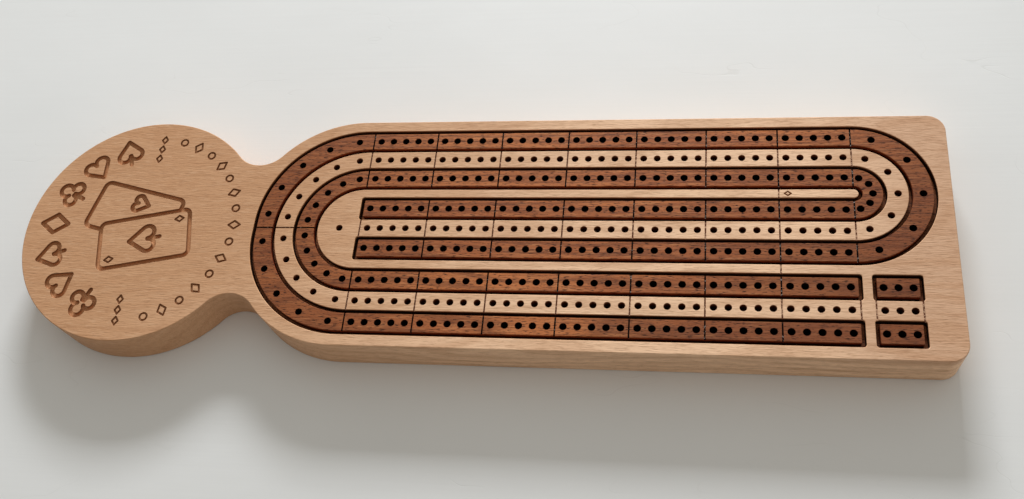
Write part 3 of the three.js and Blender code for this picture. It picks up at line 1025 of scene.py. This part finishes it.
# ---------------------------------------------------------------------------------------
# The pieces
# ---------------------------------------------------------------------------------------
def board_blank(material):
    """The slab, with its top and bottom edges rounded over."""
    turns = [i * QUARTER / EDGE_STEPS for i in range(EDGE_STEPS + 1)]
    fall = [EDGE_ROUND * (1 - math.sin(turn)) for turn in turns]
    rise = [EDGE_ROUND * (1 - math.cos(turn)) for turn in turns]
    rings = [(board_outline(inset), z) for inset, z in zip(fall, rise)]
    rings += [(board_outline(inset), TOP - z) for inset, z in zip(rise, fall)]
    return mesh_object("maple_board", *loft(rings), material)


def store_cuts():
    """The peg store's pocket, the slot that its door runs in and the slot's undercut."""
    track_floor = DOOR_SHEET_LOW + DOOR_THICKNESS + DOOR_CLEARANCE
    track_end = DOOR_HIGH.x + DOOR_TRAVEL + DOOR_CLEARANCE
    store_end = STORE_X + STORE_LENGTH
    half = STORE_HALF
    side = DOOR_HIGH.y + DOOR_CLEARANCE
    low_x = DOOR_LOW.x - DOOR_CLEARANCE
    pocket = rounded_rectangle(STORE_X, store_end, -half, half, STORE_CORNER)
    slot = counterclockwise(rounded_rectangle(STORE_X, track_end, -half, half, STORE_CORNER))
    eased = half + ARRIS
    mouth = counterclockwise(
        rounded_rectangle(STORE_X - ARRIS, track_end + ARRIS, -eased, eased, STORE_CORNER + ARRIS)
    )
    undercut = rounded_rectangle(low_x, track_end, -side, side, DOOR_CLEARANCE)
    return [
        prism(pocket, -CUT_MARGIN, STORE_DEPTH),
        loft([(mouth, -CUT_MARGIN), (mouth, 0), (slot, ARRIS), (slot, track_floor)]),
        prism(undercut, DOOR_SHEET_LOW - DOOR_CLEARANCE, track_floor),
    ]


def make_board(maple, maple_cut, maple_bore, maple_engraved, maple_scribed):
    """The slab with its engraving, peg store, inlay pockets, scribed lines and holes."""
    board = board_blank(maple)
    carve(board, passes(suits() + marks() + cards() + skunk_mark()), maple_engraved)
    carve(board, store_cuts(), maple)
    pockets = [pocket_cutter(partial(lane_band, turn)) for turn in (OUTER_TURN, INNER_TURN)]
    pockets += [pocket_cutter(partial(start_band, -turn)) for turn in (OUTER_TURN, INNER_TURN)]
    carve(board, [joined(pockets)], maple_cut)
    carve(board, [maple_scribes()], maple_scribed)
    holes = lane_holes(MIDDLE_TURN) + start_holes(-MIDDLE_TURN) + [(FINISH_HOLE_X, 0)]
    carve(board, [drills(holes)], maple_bore)
    finish_surface(board)
    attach(board, "board")
    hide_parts("board_body")


def make_inlay(name, band, holes, scribes, walnut, walnut_side, walnut_bore, walnut_scribed):
    """A strip: a foot in its pocket, and a narrower face with eased edges above it."""
    foot = counterclockwise(band(POCKET_HALF - GLUE_LINE, GLUE_LINE))
    face = counterclockwise(band(POCKET_HALF - GROOVE_WIDTH, GROOVE_WIDTH))
    eased = counterclockwise(band(POCKET_HALF - GROOVE_WIDTH - ARRIS, GROOVE_WIDTH + ARRIS))
    strip = mesh_object(f"{name}_strip", *loft([
        (foot, TOP - POCKET_DEPTH + GLUE_LINE),
        (foot, TOP - GROOVE_DEPTH),
        (face, TOP - GROOVE_DEPTH),
        (face, TOP - ARRIS),
        (eased, TOP),
    ]), walnut)
    # The strip's steep sides take a copy of the walnut with painted shade, darkening down the
    # groove.
    strip.data.materials.append(walnut_side)
    for polygon in strip.data.polygons:
        polygon.material_index = 1 if abs(polygon.normal.z) < STEEP_NORMAL else 0
    if scribes:
        carve(strip, [joined(scribes)], walnut_scribed)
    carve(strip, [drills(holes)], walnut_bore)
    finish_surface(strip)
    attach(strip, "board")
    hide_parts(f"{name}_inlay")


def make_inlays(*woods):
    """The two walnut lanes and the two walnut start blocks."""
    half = POCKET_HALF - GROOVE_WIDTH + WALNUT_SCRIBE_OVERRUN
    for name, turn in (("outer_lane", OUTER_TURN), ("inner_lane", INNER_TURN)):
        scribes = lane_scribes(turn, half, 1, GROUPS - 1)
        make_inlay(name, partial(lane_band, turn), lane_holes(turn), scribes, *woods)
    for name, row_y in (("outer_start", -OUTER_TURN), ("inner_start", -INNER_TURN)):
        make_inlay(name, partial(start_band, row_y), start_holes(row_y), [], *woods)


def make_door(steel):
    """The sliding sheet with eased edges, and its folded finger lip."""
    sheet_top = DOOR_SHEET_LOW + DOOR_THICKNESS

    def sheet_outline(inset):
        return rounded_rectangle(
            DOOR_LOW.x + inset,
            DOOR_HIGH.x - inset,
            DOOR_LOW.y + inset,
            DOOR_HIGH.y - inset,
            DOOR_CORNER,
        )

    def lip_outline(inset):
        return rounded_rectangle(
            DOOR_HIGH.x - DOOR_THICKNESS + inset,
            DOOR_HIGH.x - inset,
            -DOOR_LIP_HALF + inset,
            DOOR_LIP_HALF - inset,
            DOOR_EASE,
        )

    sheet = loft([
        (sheet_outline(DOOR_EASE), DOOR_SHEET_LOW),
        (sheet_outline(0), DOOR_SHEET_LOW + DOOR_EASE),
        (sheet_outline(0), sheet_top - DOOR_EASE),
        (sheet_outline(DOOR_EASE), sheet_top),
    ])
    lip = loft([
        (lip_outline(DOOR_EASE), DOOR_LOW.z),
        (lip_outline(0), DOOR_LOW.z + DOOR_EASE),
        (lip_outline(0), DOOR_SHEET_LOW + DOOR_EASE),
    ])
    door = mesh_object("store_door", *joined([sheet, lip]), steel)
    finish_surface(door)
    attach(door, "door")
    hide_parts("peg_store_door")


def peg_profile():
    """(distance from the tip, radius) along a peg, with its corners eased."""
    head = PEG_LENGTH - PEG_SHANK
    collar_start, collar_end = PEG_COLLAR
    corners = [
        (0, 0),
        (0, PEG_TIP_RADIUS),
        (PEG_SHANK, PEG_SHANK_RADIUS),
        (PEG_SHANK + head * collar_start, PEG_HEAD_RADIUS),
        (PEG_SHANK + head * collar_end, PEG_HEAD_RADIUS),
        (PEG_SHANK + head * PEG_WAIST, PEG_WAIST_RADIUS),
        (PEG_SHANK + head * PEG_GRIP, PEG_HEAD_RADIUS),
        (PEG_LENGTH, PEG_WAIST_RADIUS),
        (PEG_LENGTH, 0),
    ]
    return softened(corners, PEG_EASE)[1:-1]


def turned_peg(name, profile, box, material):
    """A peg turned about the axis of its box, with its tip at the low end of X."""
    low, high = [Vector(corner) / MM for corner in box]
    axis_y = (low.y + high.y) / 2
    axis_z = (low.z + high.z) / 2
    vertices = []
    for along, radius in profile:
        circle = arc(axis_y, axis_z, radius, 0, 2 * math.pi, PEG_SIDES)[:-1]
        vertices += [(low.x + along, y, z) for y, z in circle]
    return mesh_object(name, vertices, ring_faces(len(vertices), PEG_SIDES), material)


def make_pegs():
    """Nine loose pegs, three of each finish, lying in the store."""
    profile = peg_profile()
    for finish in PEG_FINISHES:
        metal = turned_metal(f"peg_{finish}", *PEG_METALS[finish])
        for number in range(1, PEGS_PER_FINISH + 1):
            node = f"peg_{finish}_{number}"
            body = f"{finish}_peg_{number}"
            peg = turned_peg(f"{body}_turned", profile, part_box(node), metal)
            finish_surface(peg, PEG_CREASE)
            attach(peg, body)
            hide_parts(node)


def make_floor():
    """A wide floor, a hair below the underside of the board."""
    signs = ((-1, -1), (1, -1), (1, 1), (-1, 1))
    corners = [(a * FLOOR_HALF, b * FLOOR_HALF, -FLOOR_DROP) for a, b in signs]
    floor = mesh_object("floor", corners, [(0, 1, 2, 3)], painted_floor())


# ---------------------------------------------------------------------------------------
# Camera and light
# ---------------------------------------------------------------------------------------
def aimed(place, target, roll=0.0):
    """The matrix of a camera or light at a place, looking at a target."""
    aim = (target - place).to_track_quat("-Z", "Y").to_matrix()
    turn = aim @ Matrix.Rotation(math.radians(roll), 3, "Z")
    return Matrix.Translation(place) @ turn.to_4x4()


def make_camera():
    data = bpy.data.cameras.new("camera")
    data.lens = CAMERA_LENS
    data.sensor_width = CAMERA_SENSOR
    data.clip_start = CAMERA_CLIP
    camera = bpy.data.objects.new("camera", data)
    bpy.context.scene.collection.objects.link(camera)
    target = Vector(CAMERA_TARGET) * MM
    camera.matrix_world = aimed(Vector(CAMERA_PLACE) * MM, target, CAMERA_ROLL)
    bpy.context.scene.camera = camera


def make_window():
    """A window of soft daylight, aimed at the board."""
    data = bpy.data.lights.new("window", "AREA")
    data.shape = "RECTANGLE"
    data.size, data.size_y = WINDOW_SIZE
    data.energy = WINDOW_POWER
    data.color = WINDOW_COLOUR
    light = bpy.data.objects.new("window", data)
    bpy.context.scene.collection.objects.link(light)
    light.matrix_world = aimed(Vector(WINDOW_PLACE), Vector((0.0, 0.0, 0.0)))


def make_room():
    """The light of the room, which comes more from its bright side."""
    world = bpy.data.worlds.new("room")
    bpy.context.scene.world = world
    world.use_nodes = True
    tree = world.node_tree
    background = tree.nodes["Background"]
    background.inputs["Strength"].default_value = ROOM_STRENGTH
    direction = tree.nodes.new("ShaderNodeVectorMath")
    direction.operation = "DOT_PRODUCT"
    direction.inputs[1].default_value = ROOM_BRIGHT_SIDE
    place = tree.nodes.new("ShaderNodeTexCoord")
    tree.links.new(place.outputs["Generated"], direction.inputs[0])
    walls = tree.nodes.new("ShaderNodeMapRange")
    walls.inputs["From Min"].default_value = ROOM_BLEND[0]
    walls.inputs["From Max"].default_value = ROOM_BLEND[1]
    tree.links.new(direction.outputs["Value"], walls.inputs["Value"])
    room = tree.nodes.new("ShaderNodeMix")
    room.data_type = "RGBA"
    room.inputs[6].default_value = (*ROOM_DIM, 1.0)
    room.inputs[7].default_value = (*ROOM_BRIGHT, 1.0)
    tree.links.new(walls.outputs["Result"], room.inputs["Factor"])
    tree.links.new(room.outputs[2], background.inputs["Color"])
    bpy.context.scene.view_settings.view_transform = "Standard"


# ---------------------------------------------------------------------------------------
# The scene
# ---------------------------------------------------------------------------------------
make_camera()
make_window()
make_room()
make_floor()
make_board(
    wood_surface("maple", maple_colour),
    cut_surface_painted_light_and_shade("maple_cut", maple_colour, *MAPLE_CUT_PAINTED_HIGHLIGHT_AND_SHADE),
    cut_surface_painted_light_and_shade("maple_bore", maple_colour, *MAPLE_BORE_PAINTED_SHADE),
    cut_surface_painted_light_and_shade("maple_engraved", maple_colour, *MAPLE_ENGRAVED_PAINTED_SHADE),
    scribed_surface("maple_scribed", *MAPLE_SCRIBED_PAINTED_SHADE_AND_DUST),
)
make_inlays(
    wood_surface("walnut", walnut_colour),
    cut_surface_painted_light_and_shade("walnut_side", walnut_colour, *WALNUT_SIDE_PAINTED_SHADE),
    cut_surface_painted_light_and_shade("walnut_bore", walnut_colour, *WALNUT_BORE_PAINTED_SHADE),
    scribed_surface("walnut_scribed", *WALNUT_SCRIBED_PAINTED_SHADE_AND_DUST),
)
make_door(brushed_steel("door_steel"))
make_pegs()
